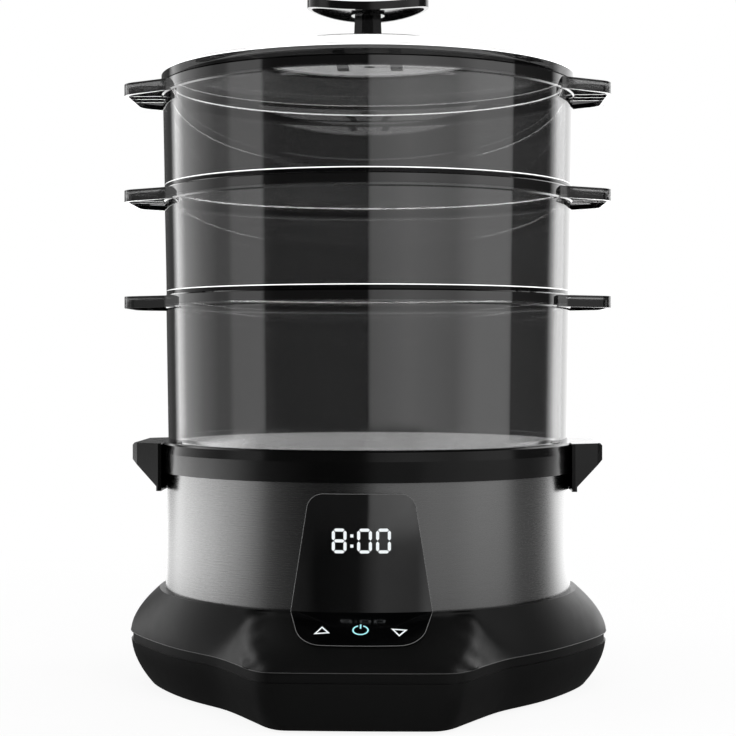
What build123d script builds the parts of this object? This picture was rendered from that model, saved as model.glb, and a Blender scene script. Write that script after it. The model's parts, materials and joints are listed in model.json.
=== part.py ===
from build123d import *
from math import atan2, cos, degrees, pi, radians, sin, sqrt, tan
import os

# Three-tier electric food steamer. Millimetres, +Z up, front towards -Y.
# The origin is on the table under the middle of the appliance.

# ---------------------------------------------------------------- driving dimensions
# heights, stacked up from the table
foot_stand_off = 1.5
parting_height = 30.0
band_foot = 55.5
band_height = 66.3
rim_height = 16.5
bottom_basket_height = 83.2
upper_basket_height = 60.0
lid_flange_height = 6.0
lid_crown_rise = 13.3
stem_height = 22.0
loop_height = 31.2

# casing plan, as reaches from the vertical axis
side_reach = 136.2
side_tuck = 13.5
valley_reach = 125.5
valley_tuck = 9.5
nose_reach = 150.0
nose_tuck = 1.4
nose_half = 50.5
nose_half_tuck = 8.2
nose_flank_angle = 27.4
nose_corner_softness = 6.0
nose_valley_softness = 6.0
nose_cone_share = 0.5
deck_radius = 119.4
side_bulge_sharpness = 20
belly_power = 2.2
shoulder_power = 1.8
casing_wall = 3.0
casing_floor = 2.5
strip_height = 5.0
strip_depth = 1.0
lip_height = 3.0
lip_wall = 1.4
fit_gap = 0.3

# brushed band and the rim above it
band_foot_radius = 116.0
band_top_radius = 115.0
band_sheet = 0.8
rim_radius = 118.2
rim_inner_radius = 112.2
rim_ledge_radius = 110.6
rim_ledge_drop = 10.3
rim_spigot_depth = 6.0
rim_facet_drop = 5.7
grip_reach = 132.0
grip_half = 39.0
grip_tip_half = 31.0
grip_drop = 24.0
grip_face_height = 8.0
grip_lip_height = 2.6
grip_lip = 1.0

# water reservoir
reservoir_radius = 109.8
reservoir_wall = 2.2
reservoir_floor = 45.5
reservoir_flange = 2.0
bay_depth = 94.0
bay_ceiling_drop = 12.0
level_marks = 3
level_mark_pitch = 14.0

# touch panel
lens_thickness = 1.8
lens_sink = 0.6
lens_gap = 0.1
lens_top_drop = 5.6
lens_top_half = 27.0
lens_fold_half = 36.5
lens_foot_half = 30.5
lens_foot_run = 18.5
lens_top_corner = 8.5
lens_foot_corner = 14.0
inlay_depth = 0.5
digit_height = 12.7
digit_width = 7.6
digit_stroke = 1.6
digit_base = 85.9
digit_centres = (-11.3, 1.7, 11.4)
colon_centre = -4.8
icon_spacing = 19.6
icon_run = 10.9
icon_width = 8.4
icon_height = 5.2
icon_stroke = 0.8

# electronics
board_thickness = 1.6
control_board_half = 33.0
control_board_front = 103.6
control_board_headroom = 4.0
holder_half = 25.0
holder_foot = 80.0
holder_top = 104.0
holder_front = 112.4
holder_wall = 2.5
module_half = 20.0
touch_board_half = 31.0
touch_board_depth = 9.0
touch_board_width = 13.0
pad_radius = 3.5
power_board_half = (36.0, 22.0)
power_board_level = 12.0
power_board_y = 92.0
post_radius = 3.0
board_screw_radius = 1.2

# long screws, feet and the cord's gland
pillar_circle = 88.0
pillar_radius = 4.5
screw_radius = 1.6
screw_head_radius = 3.6
screw_head_height = 2.2
screw_bite = 12.0
screw_gap = 0.05
foot_circle = 98.0
foot_radius = 9.0
foot_recess = 1.0
gland_height = 17.0
gland_bore = 3.7
gland_neck = 6.0
gland_flange = 8.0
gland_flange_thickness = 2.0
gland_length = 10.0
slit_count = 7
slit_pitch = 6.0

# heater
heater_hole = 30.0
heater_plate_radius = 36.0
heater_sheet = 2.0
heater_dish_depth = 4.0
gasket_thickness = 1.5
element_ring_radius = 20.0
element_tube = 3.6
element_turn = 290.0
stud_radius = 2.0
stud_offset = 26.0
bracket_sheet = 1.5
steam_ring_foot = 50.0
steam_ring_top = 42.0
steam_ring_height = 38.0
steam_ring_wall = 2.0

# baskets, the bottom one first
basket_names = ("bottom", "middle", "top")
basket_foot_radii = (114.4, 115.5, 116.6)
basket_top_radii = (115.6, 116.6, 117.6)
basket_wall = 2.2
rim_band = 7.5
rim_lip = 0.8
skirt_depth = 4.5
skirt_gap = 0.5
skirt_wall = 2.0
ledge_width = 4.0
ledge_thickness = 1.6
floor_thickness = 3.0
floor_gap = 0.4
slot_width = 3.0
slot_rings = ((20.0, 6, 9.0), (37.0, 10, 12.0), (54.0, 16, 9.0), (71.0, 20, 12.0), (88.0, 26, 9.0))
wing_reach = 137.7
wing_root_half = 50.0
wing_tip_half = 28.0
wing_thickness = 6.5
wing_plate = 2.0
wing_border = 2.4
wing_tip_corner = 16.0

# drip tray
tray_flange = 2.0
tray_depth = 11.0
tray_wall = 1.8
tray_radius = 104.0
chimney_radius = 26.0
chimney_rise = 3.0

# lid
lid_radius = 118.4
lid_wall = 2.2
lid_skirt_depth = 4.0
lid_shoulder = (100.0, 9.5)
lid_haunch = (84.0, 14.2)
lid_crown = (72.0, 18.2)
crown_radius = 68.0
vent_plate_thickness = 2.0
vent_seat_width = 5.0
vent_seat_thickness = 1.2
vent_slot_width = 7.2
vent_slot_length = 30.0
vent_slot_offset = 16.0
vent_slot_distance = 32.0
vent_hole_radius = 3.5
stem_width = 15.0
dish_width = 70.0
dish_depth = 43.0
dish_thickness = 4.5
dish_rise = 5.0
dish_border = 2.6
dish_recess = 3.0
dish_boss_radius = 9.6
leg_offset = 27.7
leg_width = 8.0
leg_depth = 12.0
bar_thickness = 8.5
bar_depth = 20.0
bar_round = 3.6
handle_screw_radius = 2.0
handle_screw_head = 4.5

# ---------------------------------------------------------------- levels worked out
casing_base = foot_stand_off
band_top = band_foot + band_height
rim_top = band_top + rim_height
basket_heights = (bottom_basket_height, upper_basket_height, upper_basket_height)
seats = [rim_top]
for height in basket_heights:
    seats.append(seats[-1] + height)
lid_seat = seats[-1]
crown_top = lid_seat + lid_flange_height + lid_crown_rise
dish_level = crown_top + stem_height
overall_height = dish_level + loop_height

slope_rise = band_foot - parting_height
slope_run = nose_reach - band_foot_radius
slope_angle = atan2(slope_rise, slope_run)

ledge_level = rim_top - rim_ledge_drop
tray_seat = ledge_level + reservoir_flange
bay_ceiling = ledge_level - bay_ceiling_drop
reservoir_inner_floor = reservoir_floor + reservoir_wall
control_board_back = control_board_front - board_thickness
control_board_foot = band_foot + 1.0
control_board_top = bay_ceiling - control_board_headroom

screw_seat = casing_base + screw_head_height
pillar_foot = casing_base + casing_floor + 3.0
plate_seat = reservoir_inner_floor + gasket_thickness
plate_top = plate_seat + heater_sheet
plate_under = plate_seat - heater_dish_depth
pin_foot = plate_under - 2 * element_tube - 12
bracket_level = plate_under - 2 * element_tube - bracket_sheet
vent_plate_under = crown_top - vent_plate_thickness

# ---------------------------------------------------------------- helpers
BASE = (Align.CENTER, Align.CENTER, Align.MIN)
CORNER = (Align.MIN, Align.MIN, Align.MIN)
FAR = 300.0


def disc(radius, low, high, x=0.0, y=0.0):
    """A round solid between two heights."""
    return Pos(x, y, low) * Cylinder(radius, high - low, align=BASE)


def ring(outer, inner, low, high, x=0.0, y=0.0):
    return disc(outer, low, high, x, y) - disc(inner, low - 1, high + 1, x, y)


def block(x_range, y_range, z_range):
    """A box given by its limits along the three axes, in either order."""
    limits = [sorted(pair) for pair in (x_range, y_range, z_range)]
    low = [pair[0] for pair in limits]
    size = [pair[1] - pair[0] for pair in limits]
    return Pos(*low) * Box(*size, align=CORNER)


def turned(points):
    """Turns an outline of (radius, height) points about the vertical axis."""
    return revolve(make_face(Plane.XZ * Polyline(*points, close=True)), Axis.Z)


def around(count, radius, start=0.0):
    """Places on a circle, with the start in degrees from +X."""
    angles = [radians(start + step * 360.0 / count) for step in range(count)]
    return [(radius * cos(angle), radius * sin(angle)) for angle in angles]


def spread(low, high, count):
    return [low + (high - low) * step / (count - 1) for step in range(count)]


def largest(shape):
    return max(shape.solids(), key=lambda solid: solid.volume)


def save(name, *shapes):
    """Writes one sub-part. A group of like pieces stays separate solids in one file."""
    solids = [solid for shape in shapes for solid in shape.solids()]
    whole = solids[0] if len(solids) == 1 else Compound(children=solids)
    export_step(whole, f"parts/{name}.step")


def band_radius(height):
    """Outer radius of the slightly tapered steel band."""
    share = (height - band_foot) / band_height
    return band_foot_radius + (band_top_radius - band_foot_radius) * share


pillar_places = around(6, pillar_circle)
foot_places = around(4, foot_circle, 45.0)


# ---------------------------------------------------------------- lobed casings
def soft_max(a, b, softness):
    return (a + b + sqrt((a - b) ** 2 + softness**2)) / 2


def soft_min(a, b, softness):
    return (a + b - sqrt((a - b) ** 2 + softness**2)) / 2


def casing_radius(angle, height):
    """Plan radius of the casing at an angle from +X.

    Broad lobes stand out at the sides and a flat nose at the front and rear. The belly curves
    in below the parting line, and the shoulder slopes up from it to the deck round the band.
    """
    across, along = abs(cos(angle)), abs(sin(angle))
    if height <= parting_height:
        belly = (1 - height / parting_height) ** belly_power
        side = side_reach - side_tuck * belly
        valley = valley_reach - valley_tuck * belly
        nose = nose_reach - nose_tuck * belly
        half = nose_half - nose_half_tuck * belly
        blend, flatness = nose_valley_softness, 1.0
    else:
        climb = min((height - parting_height) / slope_rise, 1.0)
        fall = climb**shoulder_power
        side = side_reach - (side_reach - deck_radius) * fall
        valley = valley_reach - (valley_reach - deck_radius) * fall
        nose = nose_reach - slope_run * climb
        half = nose_half
        blend = nose_valley_softness * (1 - climb)
        flatness = max(0.0, 1 - climb / nose_cone_share)
    body = valley + (side - valley) * across**side_bulge_sharpness
    # the nose's straight flank, which ends where it comes nearest to the axis
    tilt = radians(nose_flank_angle)
    flank = half * cos(tilt) + nose * sin(tilt)
    if across * sin(tilt) < along * cos(tilt):
        flank /= cos(tilt) * across + sin(tilt) * along
    face = nose / max(along, 0.2) ** flatness
    return soft_max(body, soft_min(face, flank, nose_corner_softness * flatness), blend)


def casing_section(height, inset=0.0):
    """The casing's closed outline at one height, drawn in by an inset."""
    steps = 120
    points = []
    for step in range(steps):
        angle = 2 * pi * step / steps
        radius = casing_radius(angle, height) - inset
        points.append((radius * cos(angle), radius * sin(angle), height))
    return make_face(Spline(*points, periodic=True))


def casing_solid(heights, inset=0.0):
    return loft([casing_section(height, inset) for height in heights])


def casing_slice(low, high, inset, outline_height=None):
    """An upright slice with the casing's outline at its lower height, or at another height."""
    outline_height = outline_height or low
    section = Pos(0, 0, low - outline_height) * casing_section(outline_height, inset)
    return extrude(section, amount=high - low, dir=(0, 0, 1))


def power_posts():
    half_x, half_y = power_board_half
    for x in (4 - half_x, half_x - 4):
        for y in (4 - half_y, half_y - 4):
            yield x, power_board_y + y


def gland_axis(reach):
    return Pos(0, reach, gland_height) * Rot(90, 0, 0)


def lower_casing():
    top = parting_height
    strip_foot = top - strip_height
    strip = casing_slice(strip_foot, top + 1, -5.0) - casing_slice(strip_foot, top + 1, strip_depth)
    hollow = casing_solid(spread(casing_base + casing_floor, top + 1, 7), casing_wall)
    shell = casing_solid(spread(casing_base, top, 7)) - [strip, hollow]
    # an inner lip locates the upper casing, and clears its slope at the lip's top
    lip_top = top + lip_height
    lip_face = casing_wall + fit_gap
    lip = casing_slice(strip_foot + 1, lip_top, lip_face, lip_top)
    root = casing_slice(strip_foot + 1, top - 1, casing_wall - 0.5)
    core = casing_slice(strip_foot, lip_top + 1, lip_face + lip_wall, lip_top)
    adds = [(lip + root) - core]
    cuts = []
    for x, y in pillar_places:
        adds.append(disc(screw_head_radius + 2.2, casing_base + 1, pillar_foot, x, y))
        cuts.append(disc(screw_head_radius + 0.6, casing_base - 1, screw_seat, x, y))
        cuts.append(disc(screw_radius + 0.2, casing_base, pillar_foot + 1, x, y))
    for x, y in foot_places:
        cuts.append(disc(foot_radius, casing_base - 1, casing_base + foot_recess, x, y))
    for x, y in power_posts():
        adds.append(disc(post_radius, casing_base + 1, power_board_level, x, y))
        bore = board_screw_radius + screw_gap
        cuts.append(disc(bore, casing_base + 3, power_board_level + 1, x, y))
    for step in range(slit_count):
        x = (step - (slit_count - 1) / 2) * slit_pitch
        cuts.append(block((x - 1.2, x + 1.2), (-12, 12), (casing_base - 1, casing_base + 5)))
    # the rear nose carries a boss with a stepped hole for the cord's gland
    face = casing_radius(pi / 2, gland_height)
    boss = Cylinder(gland_flange + 2.5, gland_length - 1, align=BASE)
    adds.append(gland_axis(face - 1) * boss)
    pocket = Cylinder(gland_flange + fit_gap, 5.4 + gland_flange_thickness, align=BASE)
    cuts.append(gland_axis(face + 5) * Cylinder(gland_neck, gland_length + 10, align=BASE))
    cuts.append(gland_axis(face + 5) * pocket)
    return largest((shell + adds) - cuts)


def slope_place(run, depth=0.0):
    """A place on the nose's sloped front: a run out from the band's foot, and a depth below it."""
    y = -(band_foot_radius + run - depth * sin(slope_angle))
    z = band_foot - run * tan(slope_angle) - depth * cos(slope_angle)
    return Plane(origin=(0, y, z), x_dir=(1, 0, 0), z_dir=(0, -sin(slope_angle), cos(slope_angle)))


touch_post_x = touch_board_half - 3.5
icon_x = (-icon_spacing, 0.0, icon_spacing)


def upper_casing():
    inner_heights = spread(parting_height - 1, band_foot - casing_wall, 8)
    # the reservoir drops through the deck, which keeps a shelf under the control bay
    well = disc(reservoir_radius + 1.2, parting_height, band_foot + 5)
    well -= block((-FAR, FAR), (-FAR, -bay_depth - 1.2), (0, FAR))
    shell = casing_solid(spread(parting_height, band_foot, 8))
    shell -= [casing_solid(inner_heights, casing_wall), well]
    # slotted rails on the shelf hold the control board, and two posts the touch board
    adds, cuts = [], [lens_pocket()]
    for side in (-1, 1):
        rail = block(
            (side * (control_board_half - 3), side * (control_board_half + 2.5)),
            (-control_board_front - 3, -control_board_back + 3),
            (band_foot - 1, band_foot + 12),
        )
        slot = block(
            (side * (control_board_half - 4), side * (control_board_half + fit_gap)),
            (-control_board_front, -control_board_back),
            (control_board_foot, band_foot + 13),
        )
        post = Cylinder(2.5, touch_board_depth - 1, align=BASE)
        adds.append(rail - slot)
        adds.append(slope_place(icon_run, touch_board_depth) * Pos(side * touch_post_x, 0, 0) * post)
    for x in icon_x:
        hole = Cylinder(pad_radius + 0.5, touch_board_depth - 1, align=BASE)
        cuts.append(slope_place(icon_run, touch_board_depth - 1) * Pos(x, 0, 0) * hole)
    cuts.append(block((-8, 8), (-bay_depth - 1, 1 - control_board_back), (40, band_foot + 1)))
    return largest((shell + adds) - cuts)


# ---------------------------------------------------------------- band and rim
def steel_band():
    band = turned(
        [
            (band_foot_radius, band_foot),
            (band_top_radius, band_top),
            (band_top_radius - band_sheet, band_top),
            (band_foot_radius - band_sheet, band_foot),
        ]
    )
    window_half = holder_half + fit_gap
    window_heights = (holder_foot - fit_gap, holder_top + fit_gap)
    return largest(band - block((-window_half, window_half), (-FAR, 0), window_heights))


def grip_wedge():
    """The right wedge grip, moulded on the rim and hanging over the band."""
    top = rim_top
    foot = rim_top - grip_drop
    root = rim_inner_radius + 2
    lip_reach = band_foot_radius + grip_lip
    profile = [
        (root, top),
        (grip_reach - 1.4, top),
        (grip_reach, top - 1.4),
        (grip_reach, top - 1.4 - grip_face_height),
        (lip_reach, foot),
        (lip_reach, foot - grip_lip_height),
        (root, foot - grip_lip_height),
    ]
    face = make_face(Plane.XZ * Polyline(*profile, close=True))
    wedge = extrude(face, amount=grip_half, both=True)
    plan = [
        (0, -grip_half),
        (band_foot_radius, -grip_half),
        (grip_reach - 3, -grip_tip_half),
        (grip_reach, 4 - grip_tip_half),
        (grip_reach, grip_tip_half - 4),
        (grip_reach - 3, grip_tip_half),
        (band_foot_radius, grip_half),
        (0, grip_half),
    ]
    wedge = wedge & extrude(make_face(Polyline(*plan, close=True)), amount=FAR)
    gap = 0.15
    inside_band = turned(
        [(0, 0), (band_radius(0) + gap, 0), (band_radius(band_top) + gap, band_top), (0, band_top)]
    )
    return wedge - inside_band


def base_rim():
    spigot_outer = band_top_radius - band_sheet - fit_gap
    spigot_inner = spigot_outer - 1.5
    body = turned(
        [
            (rim_radius - 0.2, band_top),
            (rim_radius, rim_top - rim_facet_drop),
            (rim_radius - 0.7, rim_top - 0.9),
            (rim_radius - 1.5, rim_top),
            (rim_inner_radius, rim_top),
            (rim_inner_radius, ledge_level),
            (rim_ledge_radius, ledge_level),
            (rim_ledge_radius, ledge_level - 3),
            (spigot_inner, ledge_level - 5),
            (spigot_inner, band_top - rim_spigot_depth),
            (spigot_outer, band_top - rim_spigot_depth),
            (spigot_outer, band_top),
        ]
    )
    wedge = grip_wedge()
    return largest(body + wedge + Rot(0, 0, 180) * wedge)


# ---------------------------------------------------------------- reservoir and heater
def reservoir_plan(inset):
    """A round tub with a flat front, which leaves a bay for the controls."""
    cut = Pos(0, inset - bay_depth - FAR) * Rectangle(2 * FAR, 2 * FAR)
    return Circle(reservoir_radius - inset) - cut


def reservoir():
    low, high = reservoir_floor, bay_ceiling + reservoir_wall
    tub = Pos(0, 0, low) * extrude(reservoir_plan(0), high - low)
    tub += disc(reservoir_radius, bay_ceiling, tray_seat)
    tub += disc(rim_inner_radius - fit_gap, ledge_level, tray_seat)
    low = reservoir_inner_floor
    tub -= Pos(0, 0, low) * extrude(reservoir_plan(reservoir_wall), high - low)
    inner_radius = reservoir_radius - reservoir_wall
    tub -= disc(inner_radius, high, tray_seat + 1)
    tub -= disc(heater_hole, reservoir_floor - 1, low + 1)
    for x, y in pillar_places:
        tub += disc(pillar_radius, pillar_foot, reservoir_floor + 0.5, x, y)
        tub -= disc(screw_radius, pillar_foot - 1, pillar_foot + screw_bite + 1, x, y)
    for step in range(level_marks):
        height = low + 18 + level_mark_pitch * step
        mark = ring(inner_radius + 0.5, inner_radius - 0.6, height, height + 1.2)
        tub += mark & block((-14, 14), (0, FAR), (0, FAR))
    return largest(tub)


def heater_plate():
    """A shallow pressed dish that drops through the hole, with its flange on the gasket."""
    dish = heater_hole - 1.2
    plate = turned(
        [
            (0, plate_under),
            (dish, plate_under),
            (dish, plate_seat),
            (heater_plate_radius, plate_seat),
            (heater_plate_radius, plate_top),
            (dish - 2, plate_top),
            (dish - 4, plate_under + heater_sheet),
            (0, plate_under + heater_sheet),
        ]
    )
    for side in (-1, 1):
        plate += disc(stud_radius, bracket_level - 6, plate_under + 1, side * stud_offset, 0)
    return largest(plate)


def heater_gasket():
    return ring(heater_plate_radius + 1, heater_hole + 0.4, reservoir_inner_floor, plate_seat)


element_ends = (-90.0 + (360 - element_turn) / 2, -90.0 - (360 - element_turn) / 2)


def element_pins():
    for angle in element_ends:
        angle = radians(angle)
        yield element_ring_radius * cos(angle), element_ring_radius * sin(angle)


def heater_element():
    """A sheathed element bent to most of a turn, with a cold pin down from each end."""
    level = plate_under - element_tube
    section = Plane.XZ * Pos(element_ring_radius, level) * Circle(element_tube)
    loop = Rot(0, 0, element_ends[0]) * revolve(section, Axis.Z, revolution_arc=element_turn)
    for x, y in element_pins():
        loop += disc(element_tube, level - element_tube - 2, level, x, y)
        loop += disc(1.5, pin_foot, level, x, y)
    return largest(loop)


def heater_bracket():
    """A strap under the element, clamped up on the plate's two studs."""
    heights = (bracket_level, bracket_level + bracket_sheet)
    strap = block((-stud_offset - 4, stud_offset + 4), (-6, 6), heights)
    strap += block((12, 26), (5, 11), heights)
    for side in (-1, 1):
        strap -= disc(stud_radius + 0.2, 0, FAR, side * stud_offset, 0)
    return largest(strap - disc(8.3, 0, FAR))


def heater_nuts():
    for side in (-1, 1):
        nut = Pos(side * stud_offset, 0, bracket_level - 3.2) * extrude(RegularPolygon(4.2, 6), 3.2)
        yield nut - disc(stud_radius + screw_gap, 0, FAR, side * stud_offset, 0)


def thermostat():
    """A snap-disc thermostat held against the plate through the strap's hole."""
    body = disc(8.0, plate_under - 12, plate_under)
    for side in (-1, 1):
        tabs = (plate_under - 11.4, plate_under - 10.6)
        body += block((side * 7, side * 13.5), (-3, 3), tabs)
    return largest(body)


def thermal_fuse():
    barrel = Cylinder(2.0, 10.0) + Cylinder(0.5, 20.0)
    return Pos(19, 8, bracket_level - 2.0) * Rot(0, 90, 0) * barrel


def steam_ring():
    """The collar round the heater, notched at its foot so that water runs in."""
    foot = reservoir_inner_floor
    top = foot + steam_ring_height
    collar = turned(
        [
            (steam_ring_foot, foot),
            (steam_ring_top, top),
            (steam_ring_top - steam_ring_wall, top),
            (steam_ring_foot - steam_ring_wall, foot),
        ]
    )
    for step in range(4):
        collar -= Rot(0, 0, 45 + 90 * step) * block((0, 80), (-6, 6), (foot - 1, foot + 5))
    return largest(collar)


# ---------------------------------------------------------------- touch panel
lens_top = band_top - lens_top_drop
lens_foot = band_foot - lens_foot_run * tan(slope_angle)


def lens_plan(grow=0.0):
    """Front view of the panel: upright on the band, then foreshortened down the slope."""
    fold, top, foot = lens_fold_half + grow, lens_top_half + grow, lens_foot_half + grow
    foot_y = -lens_foot_run / cos(slope_angle) - grow
    upper = Polyline((-top, lens_top), (top, lens_top), (fold, band_foot), (-fold, band_foot), close=True)
    upper = make_face(upper)
    upper = fillet(upper.vertices().group_by(Axis.Y)[-1], lens_top_corner)
    lower = make_face(Polyline((-foot, foot_y), (foot, foot_y), (fold, 0), (-fold, 0), close=True))
    lower = fillet(lower.vertices().group_by(Axis.Y)[0], lens_foot_corner)
    return upper + Pos(0, band_foot) * scale(lower, by=(1, sin(slope_angle), 1))


def front_prism(plan):
    """Pushes a plan drawn in front view straight through the front half."""
    return extrude(Plane.XZ * plan, amount=FAR)


def slope_point(run, height):
    """Radius and height of a point over the sloped cone, from its run and its normal height."""
    return (
        band_foot_radius + run + height * sin(slope_angle),
        band_foot - run * tan(slope_angle) + height * cos(slope_angle),
    )


def lens_shell(skin=None):
    """The panel's sheet, or only its outer skin, turned: on the band, then out on the slope."""
    proud = lens_thickness - lens_sink
    sink = -lens_sink if skin is None else proud - skin
    band_in = lens_gap if skin is None else lens_thickness - skin
    foot_run = lens_foot_run + 6
    top = lens_top + 2
    outer_corner = band_foot + (proud - lens_thickness * sin(slope_angle)) / cos(slope_angle)
    inner_corner = band_foot + (sink - band_in * sin(slope_angle)) / cos(slope_angle)
    return turned(
        [
            (band_radius(top) + band_in, top),
            (band_foot_radius + band_in, max(inner_corner, band_foot)),
            (band_foot_radius + band_in, inner_corner),
            slope_point(foot_run, sink),
            slope_point(foot_run, proud),
            (band_foot_radius + lens_thickness, outer_corner),
            (band_radius(top) + lens_thickness, top),
        ]
    )


def lens_pocket():
    """What the panel's foot takes out of the upper casing, and all that lies over it."""
    gap = 0.15
    inner_radius, inner_height = slope_point(-3, -lens_sink - gap)
    foot_radius, foot_height = slope_point(lens_foot_run + 6, -lens_sink - gap)
    outer_radius, top = foot_radius + 10, band_foot + 5
    tool = turned(
        [
            (inner_radius, inner_height),
            (foot_radius, foot_height),
            (outer_radius, foot_height),
            (outer_radius, top),
            (inner_radius, top),
        ]
    )
    return (tool - disc(band_foot_radius - 0.5, band_foot, FAR)) & front_prism(lens_plan(gap))


def segment_bars():
    """The seven bars of one figure, centred on its middle: name to centre, length and turn."""
    half_height = digit_height / 2
    reach_x = (digit_width - digit_stroke) / 2
    reach_y = (digit_height - digit_stroke) / 2
    across = digit_width - digit_stroke - 0.5
    upright = half_height - digit_stroke / 2 - 0.5
    return {
        "a": (0, reach_y, across, 0),
        "d": (0, -reach_y, across, 0),
        "g": (0, 0, across, 0),
        "b": (reach_x, reach_y / 2, upright, 90),
        "c": (reach_x, -reach_y / 2, upright, 90),
        "f": (-reach_x, reach_y / 2, upright, 90),
        "e": (-reach_x, -reach_y / 2, upright, 90),
    }


def segment(length):
    """A bar with pointed ends."""
    half, tip = length / 2, digit_stroke / 2
    shoulder = half - tip
    upper = [(-half, 0), (-shoulder, tip), (shoulder, tip)]
    lower = [(half, 0), (shoulder, -tip), (-shoulder, -tip)]
    return make_face(Polyline(*upper, *lower, close=True))


def display_figures():
    """A resting clock, 8:00, as separate bars."""
    middle = digit_base + digit_height / 2
    faces = []
    for centre, lit in zip(digit_centres, ("abcdefg", "abcdef", "abcdef")):
        for name in lit:
            x, y, length, turn = segment_bars()[name]
            faces.append(Pos(centre + x, middle + y) * Rot(0, 0, turn) * segment(length))
    for side in (-1, 1):
        faces.append(Pos(colon_centre, middle + side * 2.6) * Rectangle(digit_stroke, digit_stroke))
    return faces


def triangle_icon(direction):
    """A flat outlined arrow head, up or down."""
    outer = [(-icon_width / 2, 0), (icon_width / 2, 0), (0, icon_height)]
    face = make_face(Polyline(*outer, close=True))
    hole = offset(face, -icon_stroke, kind=Kind.INTERSECTION)
    outline = Pos(0, -icon_height / 3) * (face - hole)
    return outline if direction > 0 else Rot(0, 0, 180) * outline


def power_icon():
    """An open round with a short stroke in its gap."""
    outer = Ellipse(icon_width / 2, icon_width / 2 * 0.82)
    inner = Ellipse(icon_width / 2 - icon_stroke, icon_width / 2 * 0.82 - icon_stroke)
    gap = Pos(0, icon_width / 2) * Rectangle(2.6, icon_width)
    stroke = Pos(0, icon_width * 0.3) * Rectangle(icon_stroke, icon_width * 0.36)
    return (outer - inner) - gap + stroke


def icon_prisms():
    """The three icons pushed through the panel's sloped foot."""
    for x, icon in zip(icon_x, (triangle_icon(1), power_icon(), triangle_icon(-1))):
        for face in icon.faces():
            yield extrude(slope_place(icon_run, 4.0) * Pos(x, 0, 0) * face, amount=8.0)


def touch_panel():
    """The gloss panel, its lit figures and its lit icons, each let in flush."""
    lens = largest(lens_shell() & front_prism(lens_plan()))
    skin = lens_shell(inlay_depth)
    figures = [piece for face in display_figures() for piece in (skin & front_prism(face)).solids()]
    icons = [piece for prism in icon_prisms() for piece in (skin & prism).solids()]
    for piece in figures + icons:
        lens -= piece
    return largest(lens), figures, icons


# ---------------------------------------------------------------- electronics
def display_holder():
    """The light frame round the display module, from the board to the band's window."""
    depths = (-holder_front, -control_board_front)
    frame = block((-holder_half, holder_half), depths, (holder_foot, holder_top))
    inner_half = holder_half - holder_wall
    hole_heights = (holder_foot + holder_wall, holder_top - holder_wall)
    return largest(frame - block((-inner_half, inner_half), (-FAR, 0), hole_heights))


def display_module():
    heights = (digit_base - 2.5, digit_base + digit_height + 2.5)
    return block((-module_half, module_half), (0.5 - holder_front, -control_board_front), heights)


def control_board():
    depths = (-control_board_front, -control_board_back)
    heights = (control_board_foot, control_board_top)
    return block((-control_board_half, control_board_half), depths, heights)


def control_parts():
    """Chip, crystal, buzzer and connector on the back of the control board."""
    back = -control_board_back
    yield block((-8, 8), (back, back + 2), (84, 94))
    yield block((12, 20), (back, back + 3), (86, 90))
    yield Pos(-20, back, 90) * Rot(-90, 0, 0) * Cylinder(5.5, 5.0, align=BASE)
    yield block((-10, 10), (back, back + 5), (60, 67))


def touch_board():
    plate = extrude(Rectangle(2 * touch_board_half, touch_board_width), -board_thickness)
    return slope_place(icon_run, touch_board_depth) * plate


def touch_pads():
    """Conductive rubber plugs from the touch board to the back of the curved panel."""
    slope_radius = band_foot_radius + icon_run
    for x in icon_x:
        edge = abs(x) + pad_radius
        fall_away = (slope_radius - sqrt(slope_radius**2 - edge**2)) * sin(slope_angle)
        plug = Cylinder(pad_radius, touch_board_depth - lens_sink - fall_away - lens_gap, align=BASE)
        yield slope_place(icon_run, touch_board_depth) * Pos(x, 0, 0) * plug


def power_board():
    half_x, half_y = power_board_half
    heights = (power_board_level, power_board_level + board_thickness)
    board = block((-half_x, half_x), (power_board_y - half_y, power_board_y + half_y), heights)
    for x, y in power_posts():
        board -= disc(board_screw_radius + 0.2, 0, FAR, x, y)
    return largest(board)


def power_parts():
    """Relay, transformer, smoothing capacitor, fuse and terminal block."""
    top = power_board_level + board_thickness
    y = power_board_y
    yield block((-28, -9), (y - 8, y + 8), (top, top + 15.5))
    yield block((-4, 16), (y - 10, y + 10), (top, top + 18))
    yield disc(5.0, top, top + 14, 25, y - 8)
    yield block((20, 30), (y + 2, y + 8), (top, top + 6))
    yield block((-18, 18), (y + 12, y + 20), (top, top + 10))


def board_screws():
    top = power_board_level + board_thickness
    for x, y in power_posts():
        yield disc(board_screw_radius, top - 7, top + 1, x, y) + disc(2.4, top, top + 1.6, x, y)


def tube(points, radius, bend):
    """A round wire through the points, with its corners bent to a radius."""
    path = FilletPolyline(*points, radius=bend)
    start = path @ 0
    section = Plane(origin=start, z_dir=path % 0) * Circle(radius)
    return sweep(section, path=path)


def internal_wires():
    """Two leads from the power board to the element's pins and one loom to the control board."""
    top = power_board_level + board_thickness + 10
    y = power_board_y + 16
    for side, (pin_x, pin_y) in zip((1, -1), element_pins()):
        terminal_x = side * 14
        yield tube(
            [
                (terminal_x, y, top),
                (terminal_x, y, top + 9),
                (side * 50, y - 20, top + 9),
                (side * 56, 30, top + 2),
                (side * 40, pin_y - 16, pin_foot - 6),
                (pin_x, pin_y - 14, pin_foot - 6),
                (pin_x, pin_y, pin_foot - 6),
                (pin_x, pin_y, pin_foot),
            ],
            1.3,
            4.0,
        )


# ---------------------------------------------------------------- feet, screws and gland
def rubber_feet():
    for x, y in foot_places:
        pad = disc(foot_radius, 0, casing_base + foot_recess, x, y)
        yield fillet(pad.edges().group_by(Axis.Z)[0], 0.8)


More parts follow.
